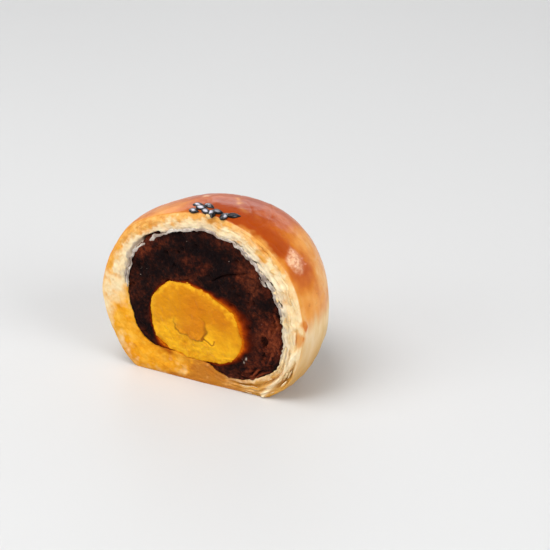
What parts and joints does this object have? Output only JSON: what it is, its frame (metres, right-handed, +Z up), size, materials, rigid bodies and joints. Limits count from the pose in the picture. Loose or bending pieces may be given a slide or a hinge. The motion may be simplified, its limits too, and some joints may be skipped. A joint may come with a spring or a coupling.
{
  "type": "cut black sesame mooncake",
  "caption": "Round flaky mooncake with its front sliced off, showing layered pastry, dark sesame paste and a salted egg yolk, with black sesame seeds on top.",
  "frame": {"origin": "middle of the underside of the whole piece, on the surface that it stands on", "axes": "+Z up, +X across the cut face, +Y from the cut face into the cake; the cut face looks along -Y"},
  "size_m": [0.0562, 0.0351, 0.045],
  "materials": {
    "pastry": "baked flaky pastry: a glossy brown egg wash above, a pale matt rim below and cream torn layers on the cut",
    "black_sesame": "black sesame seeds with a slight shine",
    "sesame_paste": "dense moist paste, nearly black, with a reddish grain",
    "yolk": "salted egg yolk, golden yellow, waxy, with a darker core"
  },
  "bodies": {
    "root": {"crust": "pastry", "filling": "sesame_paste", "yolk": "yolk"}
  },
  "joints": []
}
